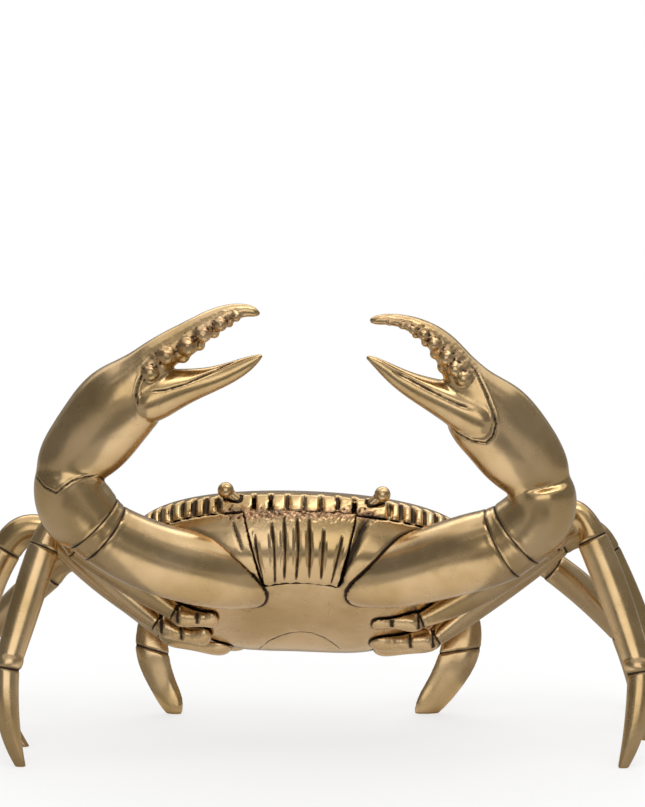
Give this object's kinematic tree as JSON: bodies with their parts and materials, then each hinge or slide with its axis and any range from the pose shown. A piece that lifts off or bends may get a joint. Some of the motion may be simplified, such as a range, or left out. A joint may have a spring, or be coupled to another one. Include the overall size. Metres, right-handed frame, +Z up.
{
  "type": "crab figurine",
  "caption": "Cast brass crab standing on its pointed feet with both claws raised and open, for display on a table or shelf.",
  "frame": {"origin": "middle of the footprint's box, on the floor that the feet stand on", "axes": "+Z up, -Y the way the mouth faces, +X to the right of someone who looks at the mouth"},
  "size_m": [0.4546, 0.1872, 0.2927],
  "materials": {
    "brass": "satin antique brass, dark patina in the grooves"
  },
  "bodies": {
    "root": {"belly_shell": "brass", "carapace": "brass", "left_claw_arm": "brass", "left_claw_collar": "brass", "left_claw_elbow": "brass", "left_claw_palm": "brass", "left_claw_thumb": "brass", "left_eye": "brass", "left_leg_1_foot": "brass", "left_leg_1_hip": "brass", "left_leg_1_knee": "brass", "left_leg_1_shin": "brass", "left_leg_1_thigh": "brass", "left_leg_2_foot": "brass", "left_leg_2_hip": "brass", "left_leg_2_knee": "brass", "left_leg_2_shin": "brass", "left_leg_2_thigh": "brass", "left_leg_3_foot": "brass", "left_leg_3_hip": "brass", "left_leg_3_knee": "brass", "left_leg_3_shin": "brass", "left_leg_3_thigh": "brass", "left_swimming_blade": "brass", "left_swimming_hip": "brass", "left_swimming_paddle": "brass", "left_swimming_thigh": "brass", "mouth_plate": "brass", "right_claw_arm": "brass", "right_claw_collar": "brass", "right_claw_elbow": "brass", "right_claw_palm": "brass", "right_claw_thumb": "brass", "right_eye": "brass", "right_leg_1_foot": "brass", "right_leg_1_hip": "brass", "right_leg_1_knee": "brass", "right_leg_1_shin": "brass", "right_leg_1_thigh": "brass", "right_leg_2_foot": "brass", "right_leg_2_hip": "brass", "right_leg_2_knee": "brass", "right_leg_2_shin": "brass", "right_leg_2_thigh": "brass", "right_leg_3_foot": "brass", "right_leg_3_hip": "brass", "right_leg_3_knee": "brass", "right_leg_3_shin": "brass", "right_leg_3_thigh": "brass", "right_swimming_blade": "brass", "right_swimming_hip": "brass", "right_swimming_paddle": "brass", "right_swimming_thigh": "brass"}
  },
  "joints": []
}
